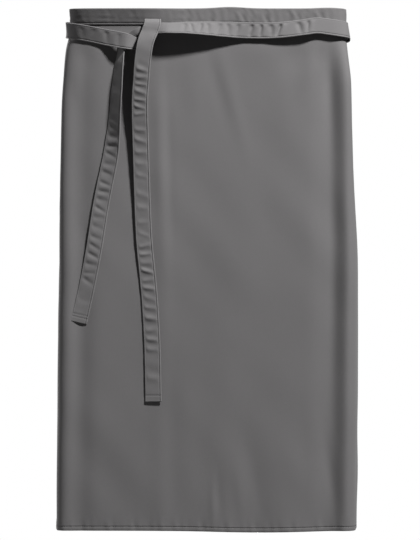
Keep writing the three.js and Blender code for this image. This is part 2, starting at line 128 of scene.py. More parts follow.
# %% Tables of the form and of its folds
SECTIONS = [
    # drop, spread, sway
    (0.00, 0.00, 0.008),
    (0.04, 0.04, 0.006),
    (0.08, 0.29, -0.003),
    (0.14, 0.40, -0.004),
    (0.27, 0.66, 0.000),
    (0.37, 0.84, 0.002),
    (0.46, 0.95, 0.009),
    (0.56, 0.98, 0.006),
    (0.75, 1.00, 0.000),
    (1.00, 1.00, -0.006),
]

LONG_FOLDS = [
    # at, reach, out, from, full, drift
    (0.39, 0.04, -0.40, 0.05, 0.15, 0.00),
    (0.45, 0.025, 0.90, 0.05, 0.15, 0.00),
    (-0.40, 0.03, -0.20, 0.05, 0.15, 0.00),
    (-0.46, 0.025, 0.60, 0.05, 0.20, 0.00),
    (-0.150, 0.035, 0.18, 0.06, 0.20, 0.01),
    (0.040, 0.060, 0.22, 0.45, 0.95, 0.02),
    (0.230, 0.070, 0.26, 0.35, 0.95, 0.02),
    (-0.280, 0.080, -0.20, 0.30, 0.90, -0.01),
    (0.640, 0.055, 0.70, 0.08, 0.80, 0.03),
    (0.790, 0.060, -0.75, 0.10, 0.90, 0.02),
    (0.920, 0.060, 0.80, 0.12, 1.00, 0.01),
    (-0.660, 0.060, 0.65, 0.08, 0.80, -0.03),
    (-0.800, 0.055, -0.80, 0.10, 0.90, -0.02),
    (-0.930, 0.060, 0.75, 0.12, 1.00, -0.01),
]

WAIST_RISES = [
    # at, reach, up
    (0.070, 0.060, 0.09),
    (0.390, 0.050, 0.05),
    (-0.900, 0.120, 0.04),
]
print(len(SECTIONS), "sections,", len(LONG_FOLDS), "long folds")


def smooth_table(rows, column, at):
    """Smooth values between a table's rows, by finite-difference slopes."""
    keys = np.array([row[0] for row in rows])
    values = np.array([row[column] for row in rows])
    at = np.clip(np.asarray(at, float), keys[0], keys[-1])
    i = np.clip(np.searchsorted(keys, at, side="right") - 1, 0, len(keys) - 2)
    before = np.maximum(i - 1, 0)
    after = np.minimum(i + 2, len(keys) - 1)
    span = keys[i + 1] - keys[i]
    t = (at - keys[i]) / span
    rise = values[i + 1] - values[i]
    slope_a = (values[i + 1] - values[before]) / (keys[i + 1] - keys[before]) * span
    slope_b = (values[after] - values[i]) / (keys[after] - keys[i]) * span
    bend = slope_a + slope_b - 2 * rise
    return values[i] + t * (slope_a + t * (3 * rise - 2 * slope_a - slope_b + t * bend))


def ramp(value, start, end):
    """From 0 at start to 1 at end, with soft ends."""
    t = np.clip((value - start) / (end - start), 0, 1)
    return t * t * (3 - 2 * t)


def bell(distance, reach):
    """A soft bump, 1 in its middle."""
    return np.exp(-((distance / reach) ** 2))


# %% [markdown]
# The ovals are worked out once, on a fine grid of heights and lengths round the cloth, with the
# way that faces out. Every piece is then placed by two numbers on the cloth and a stand-off.

# %% The grid of ovals
LEVEL_STEP = 4 * MM
ROUND_STEP = 2 * MM
ROUND_REACH = 1.2
OVAL_POINTS = 1441
INSIDE_GRID = 1.001  # cells are counted to just inside the last one
levels = np.arange(HEM_Z - 3 * LEVEL_STEP, BAND_TOP + 4 * LEVEL_STEP, LEVEL_STEP)
rounds = np.arange(0, ROUND_REACH, ROUND_STEP)


def run_along(points):
    """The length run at each point of a line."""
    return np.concatenate([[0], np.cumsum(np.linalg.norm(np.diff(points, axis=0), axis=1))])


def half_oval(z):
    """Half an oval at one height, from the front's middle to the back's, with its lengths."""
    drop = np.clip((BAND_TOP - z) / APRON_LENGTH, 0, 1)
    spread = float(smooth_table(SECTIONS, 1, drop))
    size = {key: WAIST[key] + (HEM[key] - WAIST[key]) * spread for key in WAIST}
    angle = np.linspace(0, math.pi, OVAL_POINTS)
    front = angle <= math.pi / 2
    power = np.where(front, FRONT_SQUARENESS, BACK_SQUARENESS)
    depth = np.where(front, size["front_depth"], size["back_depth"])
    radius = (np.abs(np.sin(angle) / size["half_width"]) ** power
              + np.abs(np.cos(angle) / depth) ** power) ** (-1 / power)
    x = radius * np.sin(angle)
    y = -radius * np.cos(angle)
    return x, y, run_along(np.stack([x, y], -1))


oval_grid = np.zeros((4, len(levels), len(rounds)))
side_lengths = np.zeros(len(levels))
half_lengths = np.zeros(len(levels))
for row, z in enumerate(levels):
    x, y, length = half_oval(z)
    half_lengths[row] = length[-1]
    side_lengths[row] = length[OVAL_POINTS // 2]
    past = rounds > length[-1]
    folded = np.where(past, 2 * length[-1] - rounds, rounds)
    mirror = np.where(past, -1, 1)
    run_x = np.gradient(x, length)
    run_y = np.gradient(y, length)
    oval_grid[0, row] = np.interp(folded, length, x) * mirror
    oval_grid[1, row] = np.interp(folded, length, y)
    oval_grid[2, row] = np.interp(folded, length, run_y) * mirror
    oval_grid[3, row] = -np.interp(folded, length, run_x)
print("oval grid", oval_grid.shape)


def long_folds(length, drop):
    """How far the long folds push the cloth out."""
    place = length / HALF_CLOTH
    out = np.zeros(np.broadcast(length, drop).shape)
    for at, reach, push, start, full, drift in LONG_FOLDS:
        out += push * FOLD_DEPTH * ramp(drop, start, full) * bell(place - at - drift * drop, reach)
    return out


def on_cloth(length, z, out):
    """Points at lengths round the cloth from the front's middle (right is positive), at heights,
    and standing out from the cloth's outer face."""
    length, z, out = np.broadcast_arrays(*(np.asarray(v, float) for v in (length, z, out)))
    row = np.clip((z - levels[0]) / LEVEL_STEP, 0, len(levels) - INSIDE_GRID)
    column = np.clip(np.abs(length) / ROUND_STEP, 0, len(rounds) - INSIDE_GRID)
    i = row.astype(int)
    j = column.astype(int)
    s = row - i
    t = column - j
    x, y, facing_x, facing_y = (
        (1 - s) * ((1 - t) * g[i, j] + t * g[i, j + 1]) + s * ((1 - t) * g[i + 1, j] + t * g[i + 1, j + 1])
        for g in oval_grid
    )
    side = np.where(length < 0, -1.0, 1.0)
    drop = np.clip((BAND_TOP - z) / APRON_LENGTH, 0, 1)
    whole = 2 * np.interp(z, levels, half_lengths)
    wrapped = np.where(np.abs(length) > whole / 2, length - side * whole, length)
    stand = out + long_folds(wrapped, drop)
    sway = smooth_table(SECTIONS, 2, drop) * HEM["half_width"]
    return np.stack([side * (x + facing_x * stand) + sway, y + facing_y * stand, z], axis=-1)


def waist_rise(length):
    """The soft waves of the apron's top edge."""
    place = length / HALF_CLOTH
    return sum(up * BAND_HEIGHT * bell(place - at, reach) for at, reach, up in WAIST_RISES)


# %% [markdown]
# ## From grids to meshes
# Every cloth piece here is a grid of points that is bent round. One helper joins a grid of points
# into faces, another gives it a thickness as a second grid behind the first, so each piece is
# one closed body. A Solidify modifier could thicken a sheet too, but here both faces are given,
# so that they can come together at an edge. The UV map holds metres on the flat cloth, which
# keeps the weave at its real scale wherever it is bent. An attribute named wear marks edges
# that rub.

# %% Mesh helpers
def grid_quads(rows, columns, start=0, flip=False, wrap=False):
    """Faces of a grid of points that are counted row by row."""
    i, j = np.meshgrid(np.arange(rows - 1), np.arange(columns if wrap else columns - 1), indexing="ij")
    k = (j + 1) % columns
    quads = np.stack([i * columns + j, i * columns + k, (i + 1) * columns + k, (i + 1) * columns + j], -1)
    quads = quads.reshape(-1, 4) + start
    return quads[:, ::-1] if flip else quads


def make_mesh(name, points, faces, uv=None, wear=None):
    """An object from arrays of points and faces, with a UV and a wear value for each point."""
    mesh = bpy.data.meshes.new(name)
    mesh.from_pydata(np.asarray(points).reshape(-1, 3).tolist(), [], [list(map(int, f)) for f in faces])
    corner = np.zeros(len(mesh.loops), int)
    mesh.loops.foreach_get("vertex_index", corner)
    if uv is not None:
        layer = mesh.uv_layers.new(name="cloth")
        layer.data.foreach_set("uv", np.asarray(uv, float).reshape(-1, 2)[corner].ravel())
    if wear is not None:
        attribute = mesh.attributes.new("wear", "FLOAT", "POINT")
        attribute.data.foreach_set("value", np.asarray(wear, float).ravel())
    mesh.polygons.foreach_set("use_smooth", np.ones(len(mesh.polygons), bool))
    mesh.update()
    obj = bpy.data.objects.new(name, mesh)
    bpy.context.scene.collection.objects.link(obj)
    return obj


def cloth_map(across, along):
    """The UV of a grid of points, in metres on the flat cloth."""
    return np.stack(np.broadcast_arrays(across, along), -1)


def cloth_faces(length, z, face, wall, thinner):
    """Both faces of a cloth wall, from its outer face's stand-off, thinned at its edges."""
    return on_cloth(length, z, face - thinner), on_cloth(length, z, face - wall + thinner)


def walled(name, outer, inner, uv, wear):
    """A closed wall between two grids of points of the same size."""
    rows, columns = outer.shape[:2]
    count = rows * columns
    faces = [grid_quads(rows, columns), grid_quads(rows, columns, count, flip=True)]
    index = np.arange(count).reshape(rows, columns)
    border = np.concatenate([index[0, :], index[1:, -1], index[-1, -2::-1], index[-2:0:-1, 0]])
    following = np.roll(border, -1)
    faces.append(np.stack([border, border + count, following + count, following], -1))
    obj = make_mesh(name, np.concatenate([outer.reshape(-1, 3), inner.reshape(-1, 3)]),
                    np.concatenate(faces), np.concatenate([uv.reshape(-1, 2)] * 2),
                    np.concatenate([wear.ravel()] * 2))
    turn_out(obj)
    return obj


def volume(mesh):
    """The signed volume of a closed mesh."""
    mesh.calc_loop_triangles()
    triangles = np.zeros(len(mesh.loop_triangles) * 3, int)
    mesh.loop_triangles.foreach_get("vertices", triangles)
    points = np.zeros(len(mesh.vertices) * 3)
    mesh.vertices.foreach_get("co", points)
    a, b, c = points.reshape(-1, 3)[triangles.reshape(-1, 3)].transpose(1, 0, 2)
    return float(np.einsum("ij,ij->i", a, np.cross(b, c)).sum() / 6)


def turn_out(obj):
    """Makes a closed mesh's faces point outwards."""
    if volume(obj.data) < 0:
        obj.data.flip_normals()
    print(obj.name, len(obj.data.polygons), "faces,", round(volume(obj.data) * 1e6, 2), "cm3")


# %% [markdown]
# ## Shader maths as expressions
# A weave is arithmetic on the cloth's coordinates. A small class wraps a socket, so that such
# sums are written as Python expressions and each one adds its Math nodes by itself.

# %% The socket wrapper
class Value:
    """A number that changes over a surface."""

    def __init__(self, nodes, socket):
        self.nodes = nodes
        self.socket = socket

    def output(self, name):
        """Another output of the same node."""
        return Value(self.nodes, self.socket.node.outputs[name])

    def __add__(self, other):
        return self.nodes.maths("ADD", self, other)

    def __mul__(self, other):
        return self.nodes.maths("MULTIPLY", self, other)

    def __sub__(self, other):
        return self.nodes.maths("SUBTRACT", self, other)

    def __rsub__(self, other):
        return self.nodes.maths("SUBTRACT", other, self)

    def __truediv__(self, other):
        return self.nodes.maths("DIVIDE", self, other)

    def __rtruediv__(self, other):
        return self.nodes.maths("DIVIDE", other, self)

    __radd__ = __add__
    __rmul__ = __mul__

    def sine(self):
        return self.nodes.maths("SINE", self)

    def clamped(self):
        return self.nodes.maths("MAXIMUM", self.nodes.maths("MINIMUM", self, 1.0), 0.0)


# %% [markdown]
# All other nodes come from one method, which takes a node's type, its settings and what goes
# into its sockets. It could be a loose function, but as part of a node tree it knows where the
# node belongs. A finish is a material's tree, with its even values set on the shader itself.

# %% Node trees and finishes
CLOTH_GLOSS = 0.25


class Nodes:
    """A tree of nodes that ends in one shader."""

    def __init__(self, tree, shader):
        self.tree = tree
        self.shader = tree.nodes[shader]

    def node(self, kind, settings=None, inputs=None, output=0):
        """A node from its type, its settings, and the values or links of its sockets."""
        node = self.tree.nodes.new(kind)
        for key, value in (settings or {}).items():
            setattr(node, key, value)
        for key, value in (inputs or {}).items():
            if isinstance(value, Value):
                self.tree.links.new(value.socket, node.inputs[key])
            else:
                node.inputs[key].default_value = value
        return Value(self, node.outputs[output])

    def maths(self, operation, *terms):
        return self.node("ShaderNodeMath", {"operation": operation}, dict(enumerate(terms)))

    def mix(self, share, colour_a, colour_b):
        return self.node("ShaderNodeMix", {"data_type": "RGBA"},
                         {0: share, 6: colour_a, 7: colour_b}, output=2)

    def give(self, socket, value):
        """Links a value to a socket of the shader."""
        self.tree.links.new(value.socket, self.shader.inputs[socket])


class Finish(Nodes):
    """One material and its shader."""

    def __init__(self, name, roughness, sheen=0.0):
        self.material = bpy.data.materials.new(name)
        self.material.use_nodes = True
        super().__init__(self.material.node_tree, "Principled BSDF")
        self.shader.inputs["Roughness"].default_value = roughness
        self.shader.inputs["Sheen Weight"].default_value = sheen
        self.shader.inputs["Specular IOR Level"].default_value = CLOTH_GLOSS


# %% [markdown]
# ## The twill
# Cotton twill shows fine slanting ribs where each weft thread passes over two warp threads and
# under one, stepped by one thread at each row. An image could hold it, but a formula keeps it
# sharp close up: a slanting wave gives the ribs and two finer waves cut them into threads.
# Two sizes of noise make the uneven dye of a washed cloth, and the wear attribute lightens the
# edges that rub. All of it is only a few per cent, because the photographed cloth is even.

# %% The twill finish
RIB_PITCH = 1.1 * MM
THREAD_PITCH = 0.55 * MM
RIB_SLANT = 1.6
WEAVE_HEIGHT = 0.12 * MM
WEAVE_STRENGTH = 0.35
CLOTH_GREY = (0.172, 0.167, 0.169)
TIE_GREY = (0.178, 0.173, 0.175)
HEM_GREY = (0.160, 0.155, 0.157)
DARKEST = 0.55
LIGHTEST = 1.45


def cloth_noise(finish, place, scale, detail, roughness):
    return finish.node("ShaderNodeTexNoise", {"noise_dimensions": "3D"},
                       {"Vector": place, "Scale": scale, "Detail": detail, "Roughness": roughness})


def twill(name, grey=CLOTH_GREY, wear_gain=0.10):
    """Slanting ribs cut into threads, with uneven dye and rubbed edges."""
    finish = Finish(name, roughness=0.88, sheen=0.12)
    uv = finish.node("ShaderNodeUVMap", {"uv_map": "cloth"})
    across = finish.node("ShaderNodeSeparateXYZ", None, {0: uv}, output="X")
    along = across.output("Y")
    turn = 2 * math.pi
    ribs = ((across * RIB_SLANT + along) * (turn / RIB_PITCH)).sine()
    warp = (across * (turn / THREAD_PITCH)).sine()
    weft = (along * (turn / THREAD_PITCH)).sine()
    weave = ribs * 0.30 + warp * weft * 0.12 + 0.5
    place = finish.node("ShaderNodeTexCoord", output="Object")
    clouds = cloth_noise(finish, place, scale=9.0, detail=3.0, roughness=0.55)
    slubs = cloth_noise(finish, place, scale=420.0, detail=2.0, roughness=0.6)
    wear = finish.node("ShaderNodeAttribute", {"attribute_name": "wear"}, output="Fac")
    shade = 0.90 + clouds * 0.10 + slubs * 0.10 + (weave - 0.5) * 0.10 + wear * wear_gain
    share = ((shade - DARKEST) / (LIGHTEST - DARKEST)).clamped()
    dark = (*(DARKEST * c for c in grey), 1)
    light = (*(LIGHTEST * c for c in grey), 1)
    finish.give("Base Color", finish.mix(share, dark, light))
    finish.give("Roughness", 0.82 + slubs * 0.12)
    height = weave * 0.7 + slubs * 0.6
    finish.give("Normal", finish.node("ShaderNodeBump", None, {
        "Strength": WEAVE_STRENGTH, "Distance": WEAVE_HEIGHT, "Height": height}))
    return finish.material


panel_twill = twill("twill")
band_twill = twill("twill_band")
tie_twill = twill("twill_tie", grey=TIE_GREY, wear_gain=0.16)
hem_twill = twill("twill_hem", grey=HEM_GREY)
print("finishes:", [m.name for m in (panel_twill, band_twill, tie_twill, hem_twill)])

# %% [markdown]
# ## The panel
# The wide cloth hangs from the waistband. Its long folds come from the table above. On them lie
# shallow dents, as cloth has that was folded in a drawer and pressed: each row of the next table
# is one dent, with its place on the front, its reach both ways, its tilt and its depth. They
# could be sculpted with a brush, but a table can be read, compared and changed.

# %% Table of the panel's dents
DENTS = [
    # x, z, reach across, reach down, tilt, out (all in mm, tilt as mm across for each mm down)
    (-72, -230, 9, 120, 0.02, 0.9),
    (-58, -220, 8, 120, 0.02, -0.9),
    (-20, -110, 16, 60, 0.10, 0.7),
    (15, -100, 12, 60, 0.25, -0.8),
    (40, -130, 12, 70, 0.25, 0.9),
    (135, -62, 26, 26, -0.30, -1.8),
    (160, -78, 14, 40, -0.20, 1.3),
    (176, -60, 14, 24, 0.00, -1.4),
    (120, -130, 20, 60, 0.10, 0.6),
    (-185, -60, 16, 24, 0.20, -1.5),
    (-200, -95, 12, 30, 0.10, 1.0),
    (-160, -110, 20, 60, 0.00, 0.8),
    (-178, -345, 14, 26, 0.45, -0.9),
    (-168, -352, 12, 26, 0.45, 0.7),
    (-60, -620, 18, 120, 0.04, -1.3),
    (-35, -640, 22, 120, 0.04, 0.8),
    (-140, -650, 34, 130, 0.02, 1.2),
    (-100, -560, 30, 90, 0.05, -1.0),
    (10, -745, 5, 34, 0.00, 0.9),
    (20, -740, 7, 34, 0.05, -0.8),
    (52, -735, 9, 40, 0.12, 0.8),
    (76, -725, 12, 60, 0.22, -0.9),
    (100, -700, 18, 60, 0.25, 0.9),
    (150, -690, 14, 70, 0.05, -0.6),
    (120, -520, 30, 110, 0.03, -0.7),
    (190, -110, 10, 70, 0.00, -2.6),
    (211, -110, 9, 70, 0.00, 2.8),
    (192, -360, 9, 260, 0.00, -1.8),
    (212, -360, 8, 260, 0.00, 1.6),
    (60, -420, 36, 130, -0.04, 0.9),
    (150, -300, 26, 130, 0.05, 0.8),
    (90, -260, 26, 120, 0.03, -0.8),
    (190, -700, 9, 60, 0.14, -1.2),
    (-210, -500, 10, 160, 0.00, 0.9),
    (-196, -480, 12, 160, 0.00, -0.6),
]
print(len(DENTS), "dents")

# %% Dents and waves
def dents(length, z):
    """The shallow dents of the table, as a push outwards."""
    out = np.zeros(np.broadcast(length, z).shape)
    for x, height, across, down, tilt, push in DENTS:
        drop = height * MM - z
        off = length - x * MM - tilt * drop
        out += push * MM * bell(off, across * MM) * bell(drop, down * MM)
    return out


def waves(position, wavelengths, seed):
    """A sum of sines of several lengths that never looks regular, about 1 at its peaks."""
    chance = np.random.default_rng(seed)
    total = np.zeros(np.shape(position))
    for wavelength in wavelengths:
        total += np.sin(2 * math.pi * position / wavelength + chance.uniform(0, 2 * math.pi))
    return total / len(wavelengths) ** 0.5


# %% [markdown]
# Left of the knot the tie pulls the waistband's upper edge forward, the hem hangs a little lower
# right of the middle, and its seam draws the cloth into small puckers. Lattices could bend the
# meshes like this afterwards. Here each is a short function of the length round the cloth and
# the height, so that the waistband, the hems and the stitches follow the panel by calling it.

# %% Pull, sag and puckers
BAND_PULL = 0.30
PULL_BEGINS = (30 * MM, 110 * MM)
PULL_ENDS = (200 * MM, 226 * MM)
HEM_SAG = 2.6 * MM
SAG_AT = 82 * MM
SAG_REACH = 95 * MM
SAG_HEIGHT = 120 * MM
HEM_SEAM = 6.6 * MM
SEAM_DEPTH = 0.45 * MM
HEM_SEAM_BREADTH = 0.7 * MM
PUCKER_DEPTH = 0.45 * MM
PUCKER_HEIGHT = 9 * MM
PUCKER_WAVES = [17 * MM, 11.5 * MM, 27 * MM]
SOFT_DEPTH = 0.5 * MM
SOFT_WAVES_ROUND = [190 * MM, 131 * MM, 83 * MM]
SOFT_WAVES_DOWN = [310 * MM, 173 * MM]
HELD_BELOW_BAND = 45 * MM


def band_tilt(length, z):
    """How far the tie pulls the waistband's upper edge forward."""
    pulled = ramp(-length, *PULL_BEGINS) * (1 - ramp(-length, *PULL_ENDS))
    return BAND_PULL * pulled * np.clip(z - BAND_FOOT, 0, None)


def hem_sag(length, z):
    """How much lower the hem hangs right of the middle."""
    return HEM_SAG * bell(length - SAG_AT, SAG_REACH) * (1 - ramp(z - HEM_Z, 0, SAG_HEIGHT))


def panel_relief(length, z):
    """Dents over the whole cloth, and the seam's groove and puckers at the hem."""
    above_seam = z - HEM_Z - HEM_SEAM
    groove = -SEAM_DEPTH * bell(above_seam, HEM_SEAM_BREADTH)
    pucker = PUCKER_DEPTH * waves(length, PUCKER_WAVES, seed=3) * bell(above_seam + 1 * MM, PUCKER_HEIGHT)
    soft = waves(length + 0.35 * z, SOFT_WAVES_ROUND, seed=5) * waves(z, SOFT_WAVES_DOWN, seed=6)
    held = ramp(BAND_FOOT - z, 0, HELD_BELOW_BAND)
    return (dents(length, z) + soft * SOFT_DEPTH) * held + groove + pucker + band_tilt(length, z)


# %% The panel's mesh
PANEL_COLUMNS = 330
PANEL_ROWS = 118
PANEL_TOP = BAND_TOP - CLOTH_WALL - SEAM_GAP
SEAM_ROWS = [6, 4, 2.8, 2, 1.4, 0.9, 0.5, 0.2, 0, -0.2, -0.5, -0.9, -1.5, -2.5, -3.8, -5]
RISE_SHARES = (0.90, 0.985)  # the top edge's waves fade in here, in shares of the height
EDGE_THINNING = 0.45


def panel_levels():
    """Heights of the panel's rows: even over the cloth, and close together at the hem's seam."""
    close = HEM_Z + HEM_SEAM + np.array(SEAM_ROWS) * MM
    upper = np.linspace(PANEL_TOP, close[0] + 4 * MM, PANEL_ROWS)
    return np.concatenate([upper, close, [HEM_Z + 0.5 * MM, HEM_Z]])


def make_panel():
    length = np.linspace(-HALF_CLOTH, HALF_CLOTH, PANEL_COLUMNS)[None, :]
    level = panel_levels()[:, None]
    share = np.clip((level - HEM_Z) / APRON_LENGTH, 0, 1)
    z = level + waist_rise(length) * ramp(share, *RISE_SHARES)
    edge = np.minimum(HALF_CLOTH - np.abs(length), z - HEM_Z)
    thinner = EDGE_THINNING * CLOTH_WALL * (1 - ramp(edge, 0, 1.3 * MM))
    hung = z - hem_sag(length, z)
    outer, inner = cloth_faces(length, hung, panel_relief(length, level), CLOTH_WALL, thinner)
    wear = bell(edge, 1.2 * MM) + 0.5 * bell(hung - HEM_Z - HEM_SEAM, 0.5 * MM)
    return walled("panel", outer, inner, cloth_map(length, hung), wear)


panel = make_panel()
panel.data.materials.append(panel_twill)
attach(panel, "root")
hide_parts("apron_panel")

# %% [markdown]
# ## The waistband
# The band is a strip folded over the panel's top edge and sewn through. It is made as a closed
# ring of points, out over the top and in behind, swept round the waist. A thin strip with a
# Solidify modifier would have walls too, but no fold over the top. The seam near its lower edge
# gathers it into short upright puckers, stronger on the right than on the left.

# %% The waistband's section
BAND_WALL = 1.2 * MM
BAND_OUTER = SEAM_GAP + BAND_WALL
BAND_INNER = -CLOTH_WALL - SEAM_GAP - BAND_WALL
BAND_SEAM = 2.6 * MM
BAND_FOLD = 1.3 * MM
FOLD_CORNER = 0.25
FOLD_POINTS = 7
FRONT_ROWS = [0, 0.5, 1.2, 1.9, 2.3, 2.6, 2.9, 3.4, 4.2, 6, 8, 10.5, 13, 15.5, 18, 20, 22, 23.4]
BACK_ROWS = [23, 16, 8, 3.2, 2.6, 2, 0]


def band_profile():
    """The channel's outline as stand-off and height, from the outer foot over the top."""
    outer = [(BAND_OUTER, BAND_FOOT + up * MM) for up in FRONT_ROWS]
    middle = (BAND_OUTER + BAND_INNER) / 2
    half = (BAND_OUTER - BAND_INNER) / 2
    top = [(middle + half * math.cos(a), BAND_TOP - BAND_FOLD + BAND_FOLD * math.sin(a))
           for a in np.linspace(FOLD_CORNER, math.pi - FOLD_CORNER, FOLD_POINTS)]
    back = [(BAND_INNER, BAND_FOOT + up * MM) for up in BACK_ROWS]
    slot = [(BAND_INNER + BAND_WALL, BAND_FOOT), (BAND_INNER + BAND_WALL, BAND_TOP - BAND_WALL),
            (SEAM_GAP, BAND_TOP - BAND_WALL), (SEAM_GAP, BAND_FOOT)]
    return np.array(outer + top + back + slot)


# %% Gathers and creases of the waistband
GATHER_DEPTH = 0.52 * MM
GATHER_WAVES = [12 * MM, 17 * MM, 29 * MM]
GATHERS_GROW = (-90 * MM, 60 * MM)
LEFT_GATHERS = 0.30
BREAK_WAVES = [47 * MM, 31 * MM]
LEVEL_DEPTH = 0.30 * MM
LEVEL_WAVES = [9.5 * MM, 6.1 * MM]
LEVEL_BREAKS = [61 * MM, 38 * MM]


def band_out(length, height):
    """How far the band's outer face stands out at a height above its foot."""
    right = LEFT_GATHERS + (1 - LEFT_GATHERS) * ramp(length, *GATHERS_GROW)
    broken = 0.65 + 0.45 * waves(length + 2.2 * height, BREAK_WAVES, seed=13)
    gathers = GATHER_DEPTH * waves(length + 0.15 * height, GATHER_WAVES, seed=11) * right * broken
    gathers = gathers * ramp(height, 0, 4 * MM) * (1 - 0.6 * ramp(height, 17 * MM, 24 * MM))
    level = LEVEL_DEPTH * waves(height + 0.03 * length, LEVEL_WAVES, seed=12) * (1.1 - right)
    level = level * (0.6 + 0.5 * waves(length, LEVEL_BREAKS, seed=14)) * bell(height - 13 * MM, 9 * MM)
    groove = -SEAM_DEPTH * bell(height - BAND_SEAM, 0.6 * MM)
    return BAND_OUTER + gathers + level + groove


# %% The waistband's mesh
BAND_COLUMNS = 620


def make_waistband():
    profile = band_profile()
    count = len(profile)
    front = slice(0, len(FRONT_ROWS))
    length = np.linspace(-HALF_CLOTH, HALF_CLOTH, BAND_COLUMNS)[:, None]
    height = profile[None, front, 1] - BAND_FOOT
    z = profile[None, :, 1] + waist_rise(length)
    out = np.repeat(profile[None, :, 0], BAND_COLUMNS, axis=0)
    out[:, front] = band_out(length, height)
    points = on_cloth(length, z, out + band_tilt(length, z))
    sides = grid_quads(BAND_COLUMNS, count, wrap=True)
    ends = [list(range(count))[::-1], [(BAND_COLUMNS - 1) * count + k for k in range(count)]]
    wear = np.zeros(out.shape)
    wear[:, front] += 0.6 * bell(height, 0.9 * MM) + 0.25 * bell(height - BAND_SEAM, 0.8 * MM)
    wear += 0.6 * bell(profile[None, :, 1] - BAND_TOP, 0.8 * MM)
    uv = cloth_map(length, run_along(profile)[None, :])
    obj = make_mesh("waistband_cloth", points, [*sides, *ends], uv, wear)
    turn_out(obj)
    return obj


band = make_waistband()
band.data.materials.append(band_twill)
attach(band, "root")
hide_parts(*BAND_NODES)

# %% [markdown]
# ## The hems on the inside
# The lower edge and the two back edges of the panel are turned in and sewn down. From inside
# they show as narrow strips with a soft folded edge, lying just off the panel and following
# all its folds, so they use the same relief as the panel does. The panel's own edge could be
# folded over instead, but a strip of its own is simpler to shape and shows the same.

# %% Hems
TURNED_FACE = -CLOTH_WALL - SEAM_GAP
HEM_WALL = 1.2 * MM
HEM_ROWS = [1, 0.95, 0.88, 0.82, 0.76, 0.6, 0.4, 0.2, 0.08, 0]
SIDE_HEM_COLUMNS = [0, 0.05, 0.12, 0.3, 0.5, 0.7, 0.88, 0.95, 1]
SIDE_HEM_ROWS = 150


def strip(name, length, z, edge):
    """A strip inside the panel, given by its lengths, heights and distance from its free edge."""
    thinner = EDGE_THINNING * HEM_WALL * (1 - ramp(edge, 0, 1.2 * MM))
    face = panel_relief(length, z) + TURNED_FACE
    outer, inner = cloth_faces(length, z - hem_sag(length, z), face, HEM_WALL, thinner)
    obj = walled(name, outer, inner, cloth_map(length, z), bell(edge, 0.9 * MM) + 0 * z)
    obj.data.materials.append(hem_twill)
    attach(obj, "root")
    return obj


def make_bottom_hem():
    length = np.linspace(-HALF_CLOTH, HALF_CLOTH, PANEL_COLUMNS)[None, :]
    z = (HEM_Z + HEM_HEIGHT * np.array(HEM_ROWS))[:, None]
    return strip("hem_strip", length, z, np.minimum(HEM_Z + HEM_HEIGHT - z, z - HEM_Z) + 0 * length)


def make_side_hem(name, side):
    top = BAND_FOOT + float(waist_rise(side * HALF_CLOTH)) - SEAM_GAP
    z = np.linspace(top, HEM_Z + HEM_HEIGHT + SEAM_GAP, SIDE_HEM_ROWS)[:, None]
    share = np.array(SIDE_HEM_COLUMNS)
    length = side * (HALF_CLOTH - SIDE_HEM_WIDTH * share)[None, :]
    edge = SIDE_HEM_WIDTH * np.minimum(share, 1 - share)[None, :]
    return strip(name, length + 0 * z, z + 0 * length, edge + 0 * z)


bottom_hem = make_bottom_hem()
left_hem = make_side_hem("side_strip_left", -1)
right_hem = make_side_hem("side_strip_right", 1)
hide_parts("bottom_hem")
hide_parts("side_hem_left")
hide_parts("side_hem_right")

# %% [markdown]
# ## The ties
# Each tie is a long tape that starts sewn to one back end of the waistband, crosses behind,
# comes round its side and takes part in the half knot. Its route is a table in the cloth's own
# terms: how far round, how high, how far out, and how it turns and leans. A curve
# object with a tilt would twist unevenly in the knot, so the tape's cross direction is worked
# out at each station and the section is laid across it.

# %% Routes in the knot
ON_PANEL = TIE_GAP + TIE_WALL / 2
ON_BAND = BAND_OUTER + ON_PANEL
TIE_LAYER = TIE_WALL + TIE_GAP

SHORT_TIE_KNOT = [
    # along, up and out in tie widths, layer, turn and lean in degrees, share of the width left
    (3, 0.11, 0.38, 0, 0, 36, 1),
    (2, 0.13, 0.44, 0.5, 0, 43, 0.98),
    (1.15, 0.12, 0.46, 1, 0, 46, 0.94),
    (0.8, 0.12, 0.38, 1, 0, 42, 0.88),
    (0.45, 0.11, 0.24, 1, 0, 28, 0.76),
    (0, 0.09, 0.17, 1, 4, 16, 0.66),
    (-0.45, 0.02, 0.15, 1, 12, 8, 0.48),
    (-0.85, -0.1, 0.16, 0.8, 26, 4, 0.4),
    (-1.2, -0.33, 0.12, 0, 42, 4, 0.42),
    (-1.5, -0.66, 0.08, 0, 58, 6, 0.46),
    (-1.69, -1.02, 0.09, 0, 78, 36, 0.56),
]
LONG_TIE_KNOT = [
    # along, up, out, layer, turn, lean, share of the width left
    (-3.6, -0.26, 0.11, 0, 0, -13, 1),
    (-2.95, -0.40, 0.13, 0, 0, -8, 1),
    (-2.45, -0.50, 0.19, 0.5, 0, 0, 1),
    (-1.95, -0.60, 0.31, 1, 0, 4, 1),
    (-1.45, -0.7, 0.4, 1, 0, 0, 0.96),
    (-1, -0.8, 0.27, 0.5, 4, 0, 0.8),
    (-0.6, -0.77, 0.11, 0, 22, 0, 0.66),
    (-0.24, -0.5, 0.03, 0, 52, 0, 0.62),
    (-0.02, -0.1, 0.01, 0, 78, 0, 0.66),
    (0.07, 0.26, 0.01, 0, 89, 0, 0.84),
    (0.09, 0.50, 0.05, 0, 90, 0, 1),
    (0.1, 0.64, 0.14, 0.5, 90, 0, 1),
    (0.1, 0.62, 0.3, 1, 90, 0, 1),
    (0.1, 0.45, 0.4, 2, 90, 0, 1),
    (0.04, 0.20, 0.48, 2, 90, 0, 1),
    (-0.06, -0.10, 0.52, 2, 90, 0, 1),
]

